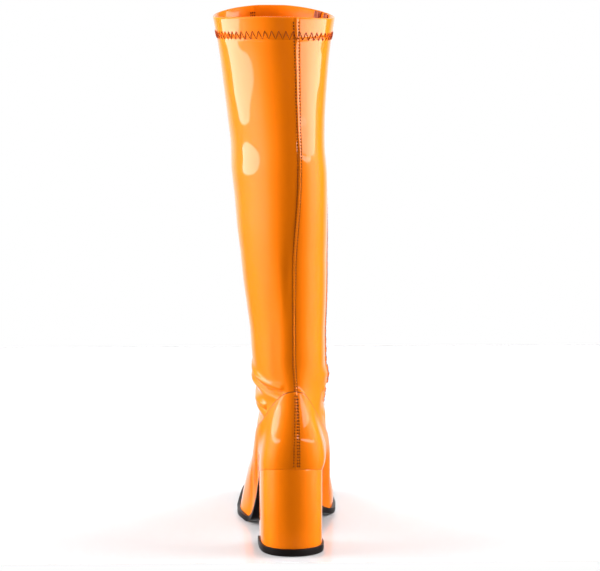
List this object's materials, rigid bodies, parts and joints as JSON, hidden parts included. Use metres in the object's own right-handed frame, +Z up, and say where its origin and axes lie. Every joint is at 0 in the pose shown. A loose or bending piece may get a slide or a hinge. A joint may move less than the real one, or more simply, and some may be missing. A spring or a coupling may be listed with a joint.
{
  "type": "knee boot",
  "caption": "Left knee-high go go boot in glossy patent leather, with a block heel, thin sole, raised back seam and a closed inner side zip with a hinged pull.",
  "frame": {"origin": "middle of the top lift's walking face, on the ground", "axes": "+Z up along the leg of the boot, +Y from heel to toe, +X to the inner (medial) side with the zip"},
  "size_m": [0.1084, 0.2491, 0.4587],
  "materials": {
    "patent_upper": "high-gloss patent coating",
    "patent_heel_cover": "high-gloss patent cover",
    "sole_rubber": "smooth moulded, satin",
    "top_lift_rubber": "trimmed edge, satin",
    "insole_board": "matte board with a thin sock",
    "zip_chain": "nylon coil on woven tape",
    "zip_metal": "nickel plated"
  },
  "bodies": {
    "boot": {"upper": "patent_upper", "outsole": "sole_rubber", "insole": "insole_board", "heel_block": "patent_heel_cover", "top_lift": "top_lift_rubber", "zip_chain": "zip_chain", "zip_slider": "zip_metal"},
    "pull": {"zip_pull": "zip_metal"}
  },
  "joints": [
    {"name": "pull_hinge", "type": "hinge", "parent": "boot", "child": "pull", "pos_m": [0.03234, 0.0577, 0.44737], "axis": [0.4141, -0.9102, 0], "range_deg": [-5, 150]}
  ]
}
